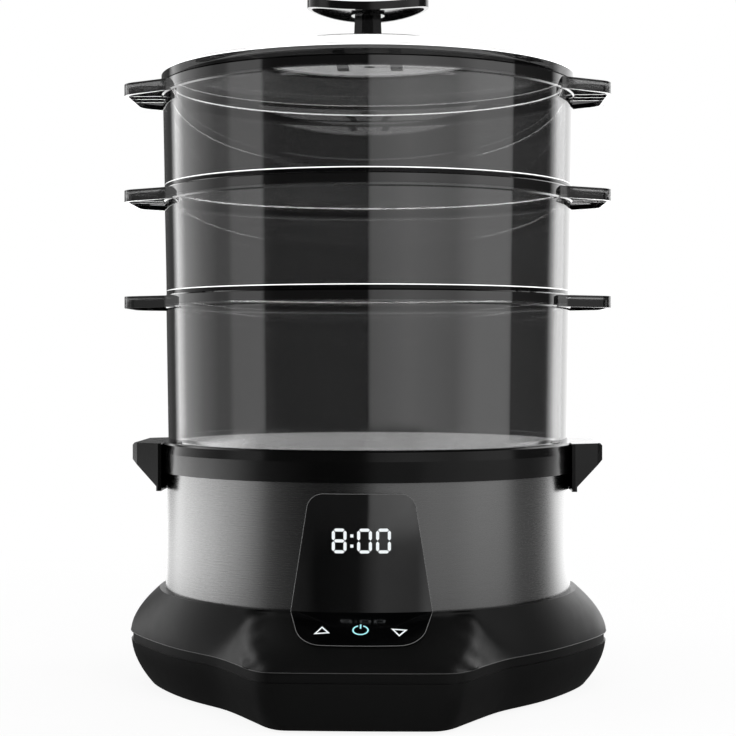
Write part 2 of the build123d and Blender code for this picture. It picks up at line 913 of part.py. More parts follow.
def casing_screws():
    tip = pillar_foot + screw_bite
    for x, y in pillar_places:
        head = disc(screw_head_radius, screw_seat - screw_head_height + 0.2, screw_seat, x, y)
        cross = block((x - 2, x + 2), (y - 0.5, y + 0.5), (0, casing_base + 1.2))
        cross += block((x - 0.5, x + 0.5), (y - 2, y + 2), (0, casing_base + 1.2))
        yield head + disc(screw_radius - screw_gap, screw_seat, tip, x, y) - cross


def cord_gland():
    """The rubber bush in the rear wall, with an empty bore where a mains lead would enter."""
    outer_face = casing_radius(pi / 2, gland_height)
    bush = gland_axis(outer_face - 0.4) * Cylinder(gland_flange, gland_flange_thickness, align=BASE)
    bush += gland_axis(outer_face - 0.4) * Cylinder(gland_neck - 0.1, gland_length + 3, align=BASE)
    return largest(bush - gland_axis(outer_face + 5) * Cylinder(gland_bore, 40, align=BASE))


# ---------------------------------------------------------------- drip tray
def drip_tray():
    """A shallow tray with an open chimney, through which the steam rises."""
    top = tray_seat + tray_flange
    foot = top - tray_depth - tray_flange
    outer = rim_inner_radius - fit_gap
    tray = turned(
        [
            (outer, tray_seat),
            (outer, top),
            (tray_radius - tray_wall, top),
            (tray_radius - tray_wall - 3, foot + tray_wall),
            (chimney_radius + tray_wall, foot + tray_wall + 2),
            (chimney_radius + tray_wall, top + chimney_rise - 2),
            (chimney_radius, top + chimney_rise - 2),
            (chimney_radius, foot + 2),
            (tray_radius - 3.5, foot),
            (tray_radius, tray_seat),
        ]
    )
    return largest(tray)


# ---------------------------------------------------------------- baskets
def skirt_radius(tier):
    """Outer radius of a basket's locating skirt, which drops inside what carries it."""
    if tier == 0:
        return rim_inner_radius - skirt_gap
    return basket_top_radii[tier - 1] - basket_wall - skirt_gap


def wing(tier):
    """The right wing handle: a plate with a border below it."""
    top = seats[tier + 1] - 1.0
    low = top - wing_thickness
    root = basket_top_radii[tier] - 12

    def plan(inset):
        points = [
            (root + inset, inset - wing_root_half),
            (wing_reach - inset, inset - wing_tip_half),
            (wing_reach - inset, wing_tip_half - inset),
            (root + inset, wing_root_half - inset),
        ]
        face = make_face(Polyline(*points, close=True))
        return fillet(face.vertices().group_by(Axis.X)[-1], wing_tip_corner - inset)

    plate = Pos(0, 0, low) * extrude(plan(0), wing_thickness)
    plate -= Pos(0, 0, low - 1) * extrude(plan(wing_border), wing_thickness - wing_plate + 1)
    rib_half = 0.8
    for y in (-12, 0, 12):
        rib = block((root, wing_reach - 1.5), (y - rib_half, y + rib_half), (low + 1.5, top - 0.5))
        plate += rib
    return plate


def basket_shell(tier):
    """One basket's wall, with its rim, locating skirt, floor ledge and two wing handles."""
    seat, top = seats[tier], seats[tier + 1]
    wall_foot, wall_top = basket_foot_radii[tier], basket_top_radii[tier]
    skirt = skirt_radius(tier)
    skirt_inner = skirt - skirt_wall
    inner_foot, inner_top = wall_foot - basket_wall, wall_top - basket_wall
    low = seat - skirt_depth
    wall = turned(
        [
            (wall_foot, seat),
            (wall_top, top - rim_band),
            (wall_top + rim_lip, top - rim_band + rim_lip),
            (wall_top + rim_lip, top - 0.6),
            (wall_top + rim_lip - 0.6, top),
            (inner_top, top),
            (inner_top, top - rim_band),
            (inner_foot, seat + 2.5),
            (skirt_inner, seat + 0.5),
            (skirt_inner, low + ledge_thickness),
            (skirt_inner - ledge_width, low + ledge_thickness),
            (skirt_inner - ledge_width, low),
            (skirt, low),
            (skirt, seat),
        ]
    )
    bare = disc(inner_top + 0.8, seat, top + 5)
    handle = wing(tier) - bare
    return largest(wall + handle + Rot(0, 0, 180) * handle)


def floor_slots():
    """Rings of slots through a floor, alternately short and long."""
    tools = []
    for radius, count, length in slot_rings:
        slot = Pos(radius, 0) * Rot(0, 0, 90) * SlotOverall(length, slot_width)
        tools += [Rot(0, 0, 360.0 * step / count) * slot for step in range(count)]
    return tools


def basket_floor(tier):
    """A perforated floor that drops on the basket's ledge."""
    low = seats[tier] - skirt_depth + ledge_thickness
    outer = skirt_radius(tier) - skirt_wall - floor_gap
    sheet = Circle(outer) - [Circle(6.0), *floor_slots()]
    return Pos(0, 0, low) * extrude(sheet, floor_thickness)


# ---------------------------------------------------------------- lid
def lid_dome():
    """A clear shallow dome with a locating skirt and a rebate for the vent plate."""
    skirt = basket_top_radii[-1] - basket_wall - skirt_gap
    skirt_inner, skirt_foot = skirt - skirt_wall, lid_seat - lid_skirt_depth
    flange_top = lid_seat + lid_flange_height
    hole, seat_top = crown_radius - vent_seat_width, vent_plate_under
    seat_foot = seat_top - vent_seat_thickness
    rise = [(radius, lid_seat + height) for radius, height in (lid_shoulder, lid_haunch, lid_crown)]
    outside = [(lid_radius - 1.0, flange_top), *rise, (crown_radius, crown_top)]
    inside = [(radius, height - lid_wall) for radius, height in rise]
    inside = [(skirt_inner, flange_top - lid_wall - 0.8), *inside]
    seat = [(crown_radius, seat_top), (hole, seat_top), (hole, seat_foot), (crown_radius - 1, seat_foot)]
    edges = [
        Polyline((skirt, lid_seat), (lid_radius, lid_seat), (lid_radius, flange_top - 1), outside[0]),
        Spline(*outside),
        Polyline(outside[-1], *seat, inside[-1]),
        Spline(*inside),
        Polyline(inside[0], (skirt_inner, skirt_foot), (skirt, skirt_foot), (skirt, lid_seat)),
    ]
    profile = make_face([Plane.XZ * edge for edge in edges])
    return largest(revolve(profile, Axis.Z))


def vent_plate():
    """The pale plate in the middle of the lid, slotted to let the steam out."""
    plate = Circle(crown_radius - fit_gap) - Circle(handle_screw_radius + 0.2)
    for side in (-1, 1):
        for x in (-vent_slot_offset, vent_slot_offset):
            slot = Rectangle(vent_slot_width, vent_slot_length)
            plate -= Pos(x, side * vent_slot_distance) * slot
        plate -= Pos(0, side * vent_slot_distance) * Circle(vent_hole_radius)
    return Pos(0, 0, vent_plate_under) * extrude(plate, vent_plate_thickness)


def handle_stem():
    """The faceted post between the lid and the handle."""
    foot = Pos(0, 0, crown_top) * RegularPolygon(stem_width * 0.60, 8, rotation=22.5)
    top = Pos(0, 0, dish_level) * RegularPolygon(stem_width * 0.54, 8, rotation=22.5)
    return loft([foot, top]) - disc(handle_screw_radius + 0.2, 0, 2 * FAR)


def handle_loop():
    """A bent oval dish with a bordered underside, two legs and a grip bar in one moulding."""
    half_x, half_y = dish_width / 2, dish_depth / 2
    bend = (half_x**2 + dish_rise**2) / (2 * dish_rise)
    outer = bend + dish_thickness
    across = Pos(0, 0, dish_level + outer) * Rot(90, 0, 0)
    reach = extrude(Ellipse(half_x, half_y), dish_level + 20)
    hollow = extrude(Ellipse(half_x - dish_border, half_y - dish_border), dish_level + 20)
    dish = (across * (Cylinder(outer, dish_depth) - Cylinder(bend, 2 * dish_depth))) & reach
    recess = across * (Cylinder(outer + 1, dish_depth) - Cylinder(outer - dish_recess, 2 * dish_depth))
    dish -= (recess & hollow) - disc(dish_boss_radius, 0, overall_height)
    bar_low = overall_height - bar_thickness
    leg_out = leg_offset + leg_width / 2
    bar = block((-leg_out, leg_out), (-bar_depth / 2, bar_depth / 2), (bar_low, overall_height))
    bar = fillet(bar.edges(), bar_round)
    loop = dish + bar
    for side in (-1, 1):
        leg_sides = (side * (leg_offset - leg_width / 2), side * leg_out)
        leg = block(leg_sides, (-leg_depth / 2, leg_depth / 2), (dish_level + 6.5, overall_height - 3.5))
        loop += leg
    boss_top = dish_level + dish_thickness + 3.0
    loop += disc(5.5, dish_level + 1, boss_top)
    return largest(loop - disc(handle_screw_radius, 0, boss_top - 1))


def handle_screw():
    shank = disc(handle_screw_radius - screw_gap, vent_plate_under, dish_level + 5)
    head = disc(handle_screw_head, vent_plate_under - 2.4, vent_plate_under)
    return shank + head - block((-3, 3), (-0.6, 0.6), (0, vent_plate_under - 1.2))


# ---------------------------------------------------------------- write every sub-part
os.makedirs("parts", exist_ok=True)
panel, figures, icons = touch_panel()

save("lower_casing", lower_casing())
save("upper_casing", upper_casing())
save("steel_band", steel_band())
save("base_rim", base_rim())
save("control_panel", panel)
save("display_figures", *figures)
save("touch_icons", *icons)
save("display_holder", display_holder())
save("display_module", display_module())
save("control_board", control_board())
save("control_board_parts", *control_parts())
save("touch_board", touch_board())
save("touch_pads", *touch_pads())
save("power_board", power_board())
save("power_board_parts", *power_parts())
save("board_screws", *board_screws())
save("internal_wires", *internal_wires())
save("reservoir", reservoir())
save("heater_plate", heater_plate())
save("heater_gasket", heater_gasket())
save("heater_element", heater_element())
save("heater_bracket", heater_bracket())
save("heater_nuts", *heater_nuts())
save("thermostat", thermostat())
save("thermal_fuse", thermal_fuse())
save("steam_ring", steam_ring())
save("rubber_feet", *rubber_feet())
save("casing_screws", *casing_screws())
save("cord_gland", cord_gland())
save("drip_tray", drip_tray())
for tier, name in enumerate(basket_names):
    save(f"{name}_basket", basket_shell(tier))
    save(f"{name}_basket_floor", basket_floor(tier))
save("lid_dome", lid_dome())
save("vent_plate", vent_plate())
save("handle_stem", handle_stem())
save("handle_loop", handle_loop())
save("handle_screw", handle_screw())
print("overall height", round(overall_height, 1), "slope", round(degrees(slope_angle), 1))
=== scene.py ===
"""The looks of a three-tier electric food steamer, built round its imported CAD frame.

Metres, +Z up, front towards -Y, in the same frame as the CAD.
"""

import json
import math

import bmesh
import bpy
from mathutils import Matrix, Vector


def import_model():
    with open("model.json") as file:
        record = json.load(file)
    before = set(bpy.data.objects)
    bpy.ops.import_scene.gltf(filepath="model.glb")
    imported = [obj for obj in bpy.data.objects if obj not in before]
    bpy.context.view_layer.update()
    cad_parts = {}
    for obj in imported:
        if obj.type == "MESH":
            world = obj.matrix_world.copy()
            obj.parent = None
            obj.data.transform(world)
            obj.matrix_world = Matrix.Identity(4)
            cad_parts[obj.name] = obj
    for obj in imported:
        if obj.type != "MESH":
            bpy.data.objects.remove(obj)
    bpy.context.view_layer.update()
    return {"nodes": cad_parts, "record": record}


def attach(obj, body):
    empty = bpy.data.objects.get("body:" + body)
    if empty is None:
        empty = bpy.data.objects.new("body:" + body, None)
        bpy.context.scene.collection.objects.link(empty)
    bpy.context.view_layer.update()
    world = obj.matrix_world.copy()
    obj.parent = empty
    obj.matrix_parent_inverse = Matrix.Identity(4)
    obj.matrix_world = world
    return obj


MM = 0.001

# ---------------------------------------------------------------- camera
CAMERA_DISTANCE = 1.030
CAMERA_HEIGHT = 0.1864
CAMERA_AZIMUTH = math.radians(1.7)
LENS = 87.31
LENS_SHIFT = -0.015

# ---------------------------------------------------------------- studio
FLOOR_RADIUS = 6.0
FLOOR_COLOUR = 0.86
FLOOR_SHADE_KEPT = 0.1
FLOOR_WHITE_FROM, FLOOR_WHITE_AT = 0.25, 0.75
FLOOR_MIRRORED = 0.07
FLOOR_MIRROR_ENDS = 0.3, 0.6
AMBIENT = 0.62
# what shiny surfaces see just above and just below the horizon, as degrees from the front towards
# the right, and brightness: a tall lamp at the left, a wide dim card at the right, white behind
UPPER_CARDS = (
    (-180, 0.10),
    (-141, 0.10),
    (-133, 1.80),
    (-122, 0.80),
    (-103, 0.38),
    (-90, 0.20),
    (-82, 0.20),
    (-78, 0.35),
    (-58, 0.36),
    (-57, 0.05),
    (-50, 0.03),
    (2, 0.03),
    (3, 0.28),
    (24, 0.38),
    (50, 0.30),
    (64, 0.46),
    (87, 0.46),
    (88, 0.07),
    (122, 0.04),
    (132, 1.50),
    (180, 1.50),
)
LOWER_CARDS = (
    (-180, 2.20),
    (-162, 2.20),
    (-150, 1.20),
    (-134, 1.90),
    (-117, 2.20),
    (-93, 1.90),
    (-75, 1.00),
    (-60, 0.20),
    (-40, 0.06),
    (-26, 0.01),
    (-4, 0.02),
    (8, 0.12),
    (28, 0.10),
    (34, 0.23),
    (55, 0.33),
    (80, 0.32),
    (98, 0.18),
    (112, 0.22),
    (126, 0.80),
    (144, 2.20),
    (180, 2.20),
)
CARD_PEAK = 2.5
CARD_SEAM = (-4.2, -3.6)
# the height in degrees where the cards start to fade and where they end, and what is above them
FADE_FROM, FADE_AT = 40, 65
OVERHEAD = 0.03
# a bright panel high up behind, which only the lid's crown mirrors: heights and half-width in degrees
REAR_PANEL = (12, 16, 34, 40)
REAR_HALF = (28, 34)
REAR_LEVEL = 2.4
# how high the lamps aim, and the softboxes: azimuth, elevation, distance, width, height, watts
LAMP_AIM = 0.2
SOFTBOXES = (
    (-82, 24, 1.9, 0.8, 1.5, 12),
    (112, 22, 1.9, 0.7, 1.5, 13),
    (20, 78, 1.8, 1.4, 1.4, 8),
    (35, 30, 2.4, 1.0, 1.0, 10),
)


# ---------------------------------------------------------------- material helper
class Shader:
    """The nodes of one material or of the world."""

    def __init__(self, owner):
        owner.use_nodes = True
        self.owner = owner
        self.tree = owner.node_tree
        self.tree.nodes.clear()

    def give(self, socket, value):
        """Sets an input, or links it where the value is another node's output."""
        if isinstance(value, bpy.types.NodeSocket):
            self.tree.links.new(value, socket)
        else:
            socket.default_value = value

    def add(self, kind, settings=(), **inputs):
        """Makes a node. An input goes by its name, with _ for a space, or by an i and its number."""
        node = self.tree.nodes.new("ShaderNode" + kind)
        for key, value in dict(settings).items():
            setattr(node, key, value)
        for key, value in inputs.items():
            numbered = key[0] == "i" and key[1:].isdigit()
            self.give(node.inputs[int(key[1:]) if numbered else key.replace("_", " ")], value)
        return node

    def math(self, operation, a, b=0.0, c=0.0):
        return self.add("Math", {"operation": operation}, i0=a, i1=b, i2=c).outputs[0]

    def ramp(self, value, low, high, to_low=0.0, to_high=1.0):
        node = self.add("MapRange", {"interpolation_type": "SMOOTHSTEP"}, Value=value)
        for key, number in (("From Min", low), ("From Max", high), ("To Min", to_low), ("To Max", to_high)):
            node.inputs[key].default_value = number
        return node.outputs[0]

    def linear(self, value, low, high):
        """Maps a 0 to 1 value to a range."""
        return self.math("MULTIPLY_ADD", value, high - low, low)

    def blend(self, share, a, b):
        """Mixes two colours."""
        return self.add("Mix", {"data_type": "RGBA"}, i0=share, i6=a, i7=b).outputs[2]

    def place(self, scale=(1, 1, 1)):
        """Where a point of the object is, in metres, stretched by a scale."""
        where = self.add("TexCoord").outputs["Object"]
        return self.add("Mapping", i0=where, Scale=scale).outputs[0]

    def noise(self, size, detail=3.0, stretch=(1, 1, 1)):
        """Noise from 0 to 1 whose features are about a size across, in metres."""
        scale = tuple(axis / size for axis in stretch)
        return self.add("TexNoise", Vector=self.place(scale), Scale=1.0, Detail=detail).outputs["Fac"]

    def bump(self, height, distance):
        return self.add("Bump", Height=height, Distance=distance, Strength=1.0).outputs[0]

    def surface(self, node):
        self.add("OutputMaterial", Surface=node.outputs[0])
        return self.owner


def new_shader(name):
    return Shader(bpy.data.materials.new(name))


def grey(level, tint=(1, 1, 1)):
    return (*(level * t for t in tint), 1)


def scaled(colour, share):
    """A colour made lighter or darker."""
    return (*(level * share for level in colour[:3]), 1)


def radians(angles):
    return tuple(math.radians(angle) for angle in angles)


# ---------------------------------------------------------------- materials
def moulded(
    name, colour, roughness, grain=0.35 * MM, relief=0.012 * MM, swing=0.05, specular=1.0, glow=0.0
):
    """Injection-moulded plastic: fine grain, faint flow marks and slightly uneven gloss.

    A glow stands for the light that a thin pale piece lets through from above, so only what looks
    down has it.
    """
    s = new_shader(name)
    flow = s.noise(40 * MM, 2.0)
    fine = s.noise(grain, 2.0)
    shade = s.blend(flow, scaled(colour, 0.82), scaled(colour, 1.2))
    smear = s.noise(9 * MM, 4.0)
    rough = s.linear(smear, roughness - swing, roughness + swing)
    slope = s.add("SeparateXYZ", Vector=s.add("TexCoord").outputs["Normal"]).outputs[2]
    bsdf = s.add(
        "BsdfPrincipled",
        Base_Color=shade,
        Roughness=rough,
        Specular_IOR_Level=specular,
        Normal=s.bump(fine, relief),
        Emission_Color=shade,
        Emission_Strength=s.ramp(slope, -0.8, -0.4, glow, 0.0) if glow else 0.0,
    )
    return s.surface(bsdf)


def brushed(name, dark, light, roughness, stretch, line=0.12 * MM, anisotropic=0.5):
    """Metal brushed along one direction: long fine streaks in colour, gloss and relief."""
    s = new_shader(name)
    long, wide = stretch
    streak = s.noise(line, 4.0, (long, long, 1.0))
    coarse = s.noise(wide, 2.0, (long, long, 1.0))
    both = s.math("MULTIPLY_ADD", streak, 0.7, s.math("MULTIPLY", coarse, 0.3))
    shade = s.blend(s.ramp(both, 0.25, 0.75), dark, light)
    rough = s.linear(both, roughness - 0.06, roughness + 0.06)
    tangent = s.add("Tangent", {"direction_type": "RADIAL", "axis": "Z"}).outputs[0]
    bsdf = s.add(
        "BsdfPrincipled",
        Base_Color=shade,
        Metallic=1.0,
        Roughness=rough,
        Anisotropic=anisotropic,
        Anisotropic_Rotation=0.25,
        Tangent=tangent,
        Normal=s.bump(streak, 0.005 * MM),
    )
    return s.surface(bsdf)


def metal(name, colour, roughness, grain, swing=0.08):
    """Plain machined or plated metal with a mottled finish."""
    s = new_shader(name)
    mottle = s.noise(grain, 5.0)
    shade = s.blend(mottle, scaled(colour, 0.75), colour)
    rough = s.linear(mottle, roughness + swing, roughness - swing)
    relief = s.bump(s.noise(grain / 6, 3.0), 0.02 * MM)
    bsdf = s.add("BsdfPrincipled", Base_Color=shade, Metallic=1.0, Roughness=rough, Normal=relief)
    return s.surface(bsdf)


def glossy_panel(name):
    """Polished black glass, with a faint film of haze and a ripple too fine to see as relief."""
    s = new_shader(name)
    haze = s.noise(14 * MM, 4.0)
    shade = s.blend(haze, grey(0.0006), grey(0.0016, (0.95, 1, 1.1)))
    rough = s.linear(haze, 0.03, 0.09)
    ripple = s.bump(s.noise(22 * MM, 1.0), 0.02 * MM)
    # faces that look up reflect less, a painted shade on the panel's reflection
    slope = s.add("SeparateXYZ", Vector=s.add("TexCoord").outputs["Normal"]).outputs[2]
    bsdf = s.add(
        "BsdfPrincipled",
        Base_Color=shade,
        Roughness=rough,
        IOR=2.0,
        Specular_IOR_Level=s.ramp(slope, 0.1, 0.4, 1.0, 0.2),
        Normal=ripple,
    )
    return s.surface(bsdf)


def lit(name, colour, edge, strength, middle=None):
    """A lit legend: a little brighter in places, as a lamp behind a diffuser is.

    The middle one of a row of legends can have a colour of its own.
    """
    s = new_shader(name)
    uneven = s.noise(2.2 * MM, 2.0)
    shade = s.blend(uneven, edge, colour)
    if middle:
        x = s.add("SeparateXYZ", Vector=s.place()).outputs[0]
        shade = s.blend(s.ramp(s.math("ABSOLUTE", x), 9 * MM, 10 * MM), middle, shade)
    return s.surface(s.add("Emission", Color=shade, Strength=strength))


def clear_plastic(name, tint, band, bright_line, crown=None, crown_glow=0.0, mirror=0.20, top_roughness=0.0):
    """Smoky clear plastic, with painted shade in its thick rims, and where it is seen along the wall a
    painted pale edge and then a dark one, partly the longer path through the plastic and partly
    painted shade.

    It has painted highlights that glow: a line over each rim in front, the rim's own edge behind and
    the upward slope of a crown seen at a glancing view. The wings are paler between painted dark
    edges, and darker where they stand upright, a painted shade too. The dark band and the bright
    line are given as (low, high) above a rim's foot, and so is a crown's dark edge, also painted shade.
    """
    s = new_shader(name)
    facing = s.add("LayerWeight", Blend=0.5).outputs["Facing"]
    x, y, z = s.add("SeparateXYZ", Vector=s.place()).outputs
    radius = s.math("SQRT", s.math("MULTIPLY_ADD", x, x, s.math("MULTIPLY", y, y)))
    across, along, slope = s.add("SeparateXYZ", Vector=s.add("TexCoord").outputs["Normal"]).outputs
    outward = s.math("MULTIPLY_ADD", across, x, s.math("MULTIPLY", along, y))
    looks_in = s.ramp(s.math("DIVIDE", outward, radius), -0.6, -0.2, 1.0, 0.0)
    looks_up = s.ramp(slope, 0.6, 0.8)
    flat = s.ramp(s.math("ABSOLUTE", slope), 0.6, 0.8)
    on_wing = s.ramp(radius, WING_FROM, WING_FROM + SOFTNESS)
    off_wing = s.math("SUBTRACT", 1.0, on_wing)

    height = s.math("WRAP", s.math("SUBTRACT", z, RIM_FOOT), RIM_PITCH, 0.0)
    stacked = s.math("GREATER_THAN", z, RIM_FOOT)
    front = s.math("MULTIPLY", s.ramp(y, -SIDE_FADE, 0.0, 1.0, 0.0), stacked)
    rear = s.math("MULTIPLY", s.ramp(y, 0.0, SIDE_FADE), stacked)
    front_half = s.math("MULTIPLY", s.math("LESS_THAN", y, 0.0), stacked)
    rear_half = s.math("MULTIPLY", s.math("GREATER_THAN", y, 0.0), stacked)

    def between(low, high, where):
        inside = s.math("COMPARE", height, (low + high) / 2, (high - low) / 2)
        return s.math("MULTIPLY", inside, where)

    in_band = between(*band, stacked)
    in_line = between(*bright_line, front)
    in_shade = between(RIM_HEIGHT - RIM_EDGE, bright_line[0], front)
    outside = s.ramp(radius, RIM_INSIDE, RIM_INSIDE + SOFTNESS)
    in_edge = s.math("MULTIPLY", between(RIM_HEIGHT - RIM_EDGE, RIM_HEIGHT, rear), outside)
    in_edge = s.math("MULTIPLY", in_edge, looks_in)

    cloud = s.noise(55 * MM, 2.0)
    wall = s.blend(cloud, grey(tint * 0.94), grey(tint))
    # a painted highlight where the wall is seen edge-on, then a dark edge, partly real and partly painted
    # shade
    wall = s.blend(s.ramp(facing, *LIMB_PALE), wall, grey(0.75))
    wall = s.blend(s.ramp(facing, *LIMB_DARK), wall, grey(0.10))
    # painted shade: the band in each rim, the strip over each rim in front and a crown's top edge turn dark
    # grey
    if crown:
        in_shade = s.math("MAXIMUM", in_shade, between(*crown, stacked))
    wall = s.blend(s.math("MAXIMUM", in_band, in_shade), wall, grey(0.08))
    # painted shade: the wings' dark edges, and their upright faces darker than their flat ones
    upper = between(RIM_HEIGHT - WING_EDGE_FRONT, RIM_HEIGHT + SOFTNESS, front_half)
    lower = between(0.0, WING_EDGE_REAR, rear_half)
    outline = s.math("MAXIMUM", s.math("MAXIMUM", upper, lower), s.ramp(facing, 0.72, 0.85))
    outline = s.math("MULTIPLY", outline, s.math("SUBTRACT", 1.0, flat))
    wing = s.blend(outline, s.blend(flat, grey(0.35), grey(0.80)), grey(0.02))
    seen = s.blend(on_wing, wall, wing)

    path = s.add("LightPath").outputs
    soft = s.math("MAXIMUM", path["Is Shadow Ray"], path["Is Diffuse Ray"])
    body = s.add("BsdfTransparent", Color=s.blend(soft, seen, grey(0.95)))
    wipe = s.linear(s.noise(12 * MM, 3.0), 0.004, 0.013)
    rough = s.math("MULTIPLY_ADD", looks_up, top_roughness, wipe)
    gloss = s.add("BsdfGlossy", Color=grey(1.0), Roughness=rough)
    # painted shade on the reflection: the wings and the dark strip over each rim reflect less
    reflection_dimmed = s.math("MAXIMUM", s.math("MULTIPLY", on_wing, 0.7), s.math("MULTIPLY", in_shade, 0.8))
    shine = s.math("MULTIPLY_ADD", reflection_dimmed, -mirror, mirror)
    sheen = s.math("MULTIPLY_ADD", s.math("POWER", facing, 5.0), s.math("SUBTRACT", 1.0, shine), shine)
    clear = s.add("MixShader", i0=sheen, i1=body.outputs[0], i2=gloss.outputs[0])
    # painted highlights: the bright lines and the rims' rear edges glow, and so does a crown's slope
    glow = s.add(
        "BsdfPrincipled",
        Base_Color=grey(0.9),
        Roughness=rough,
        Emission_Color=grey(1.0),
        Emission_Strength=s.linear(in_edge, LINE_GLOW, EDGE_GLOW),
    )
    # a painted highlight on a crown's upward slope, seen at a glancing view
    painted_crown_highlight = s.math("MULTIPLY", s.math("MULTIPLY", looks_up, s.ramp(facing, 0.70, 0.84)), crown_glow)
    painted_crown_highlight = s.math("MULTIPLY", painted_crown_highlight, s.math("SUBTRACT", 1.0, in_shade))
    share = s.math("MAXIMUM", s.math("MAXIMUM", in_edge, in_line), painted_crown_highlight)
    share = s.math("MULTIPLY", share, off_wing)
    return s.surface(s.add("MixShader", i0=share, i1=clear.outputs[0], i2=glow.outputs[0]))


def frosted_plastic(name, tint, milk, share, glow):
    """Clear plastic with a whitish bloom, as a steamed and washed basket floor has; its glow is painted
    light.
    """
    s = new_shader(name)
    facing = s.add("LayerWeight", Blend=0.5).outputs["Facing"]
    bloom = s.noise(7 * MM, 4.0)
    haze = s.add(
        "BsdfPrincipled",
        Base_Color=milk,
        Roughness=s.linear(bloom, 0.12, 0.3),
        Emission_Color=milk,
        Emission_Strength=glow,
    )
    body = s.add("BsdfTransparent", Color=tint)
    cover = s.math("MULTIPLY", s.linear(bloom, 0.8 * share, share), s.math("MULTIPLY_ADD", facing, 0.5, 0.7))
    return s.surface(s.add("MixShader", i0=cover, i1=body.outputs[0], i2=haze.outputs[0]))


def rubber(name, colour, roughness=0.72):
    s = new_shader(name)
    dust = s.noise(3 * MM, 5.0)
    shade = s.blend(dust, colour, scaled(colour, 1.5))
    pores = s.bump(s.noise(0.5 * MM, 3.0), 0.03 * MM)
    rough = s.linear(dust, roughness - 0.08, roughness + 0.08)
    bsdf = s.add("BsdfPrincipled", Base_Color=shade, Roughness=rough, Specular_IOR_Level=0.3, Normal=pores)
    return s.surface(bsdf)


def circuit_board(name):
    """Solder mask over copper: tracks show as slightly lighter lines between pads."""
    s = new_shader(name)
    cells = s.add("TexVoronoi", {"feature": "DISTANCE_TO_EDGE"}, Vector=s.place((420, 420, 420)), Scale=1.0)
    track = s.ramp(cells.outputs["Distance"], 0.05, 0.10, 1.0, 0.0)
    shade = s.blend(track, (0.012, 0.085, 0.035, 1), (0.03, 0.17, 0.07, 1))
    relief = s.bump(track, 0.03 * MM)
    bsdf = s.add("BsdfPrincipled", Base_Color=shade, Roughness=s.linear(track, 0.35, 0.25), Normal=relief)
    return s.surface(bsdf)


# the baskets' rims up the stack: lowest foot, height, pitch, and the radius of their inner faces
RIM_FOOT, RIM_HEIGHT, RIM_PITCH = 214.0 * MM, 7.5 * MM, 60.0 * MM
RIM_INSIDE = 105.0 * MM
# how far in front of and behind the middle plane the painted bright edges of the rims reach
# their full light
SIDE_FADE = 45.0 * MM
WING_FROM = 119.4 * MM
# how high a rim's painted lit edge is, how wide the wings' painted dark edges are, and how softly
# parts of them meet
RIM_EDGE = 0.7 * MM
WING_EDGE_FRONT, WING_EDGE_REAR = 2.2 * MM, 2.8 * MM
SOFTNESS = 1.0 * MM
# how far along the wall a look has to run, from 0 to 1, before the wall turns pale, a painted
# highlight, and then dark, partly the longer path through the plastic and partly painted shade
LIMB_PALE = 0.56, 0.70
LIMB_DARK = 0.72, 0.77
# how strongly the painted bright lines and the painted rear edges of the rims glow
LINE_GLOW, EDGE_GLOW = 0.6, 6.0
# where each piece has painted shade and a painted bright line, as (low, high) above a rim's foot
RIM_BAND = 2.0 * MM, 7.5 * MM
RIM_LINE = 9.6 * MM, 10.1 * MM
LID_BAND = 3.0 * MM, 12.2 * MM
LID_LINE = 12.2 * MM, 13.2 * MM
LID_CROWN = 25.7 * MM, 27.0 * MM

materials = {
    "casing_black": moulded("casing_black", grey(0.003), 0.42, specular=0.5),
    "rim_black": moulded("rim_black", grey(0.002), 0.14, swing=0.04, specular=0.6),
    "brushed_band": brushed("brushed_band", grey(0.38), grey(0.43), 0.27, (0.012, 0.4 * MM)),
    "panel_gloss": glossy_panel("panel_gloss"),
    "lit_white": lit("lit_white", (0.98, 1.0, 1.0, 1), (0.80, 0.86, 0.90, 1), 1.0),
    "clear_smoke": clear_plastic("clear_smoke", 0.42, RIM_BAND, RIM_LINE),
    "clear_floor": frosted_plastic("clear_floor", grey(0.93), grey(0.92), 0.12, 0.0),
    "vent_pale": moulded("vent_pale", grey(0.74), 0.32, relief=0.006 * MM, specular=0.5, glow=2.9),
    "handle_black": moulded("handle_black", grey(0.003), 0.15, swing=0.04),
    "tub_grey": moulded("tub_grey", grey(0.10), 0.42),
    "tray_smoke": moulded("tray_smoke", grey(0.10), 0.25),
    "rubber_black": rubber("rubber_black", grey(0.02)),
    "silicone": rubber("silicone", grey(0.62, (1, 1, 0.96)), 0.55),
    "heater_alloy": metal("heater_alloy", grey(0.75), 0.32, 4 * MM),
    "sheath_steel": metal("sheath_steel", grey(0.36, (1, 0.94, 0.86)), 0.45, 2 * MM),
    "zinc_steel": metal("zinc_steel", grey(0.62, (1, 1, 0.96)), 0.30, 1.2 * MM),
    "board_green": circuit_board("board_green"),
    "part_black": moulded("part_black", grey(0.03), 0.45),
    "part_cream": moulded("part_cream", grey(0.72, (1, 0.97, 0.88)), 0.5),
    "wire_red": rubber("wire_red", (0.34, 0.03, 0.02, 1), 0.45),
}

# the lid is clearer than the baskets, with a satin crown that also carries a painted highlight and
# a painted dark edge, the lowest floor is whitest, by its own colour and by a painted glow, and the
# power key is lit in pale blue
special = {
    "touch_icons": lit("lit_icons", (0.98, 1.0, 1.0, 1), (0.80, 0.86, 0.90, 1), 1.0, (0.42, 0.88, 0.94, 1)),
    "lid_dome": clear_plastic("clear_lid", 0.55, LID_BAND, LID_LINE, LID_CROWN, 0.85, top_roughness=0.2),
    # the lowest floor's glow is painted light
    "bottom_basket_floor": frosted_plastic("white_floor", grey(0.80), grey(0.95), 0.8, 1.6),
}

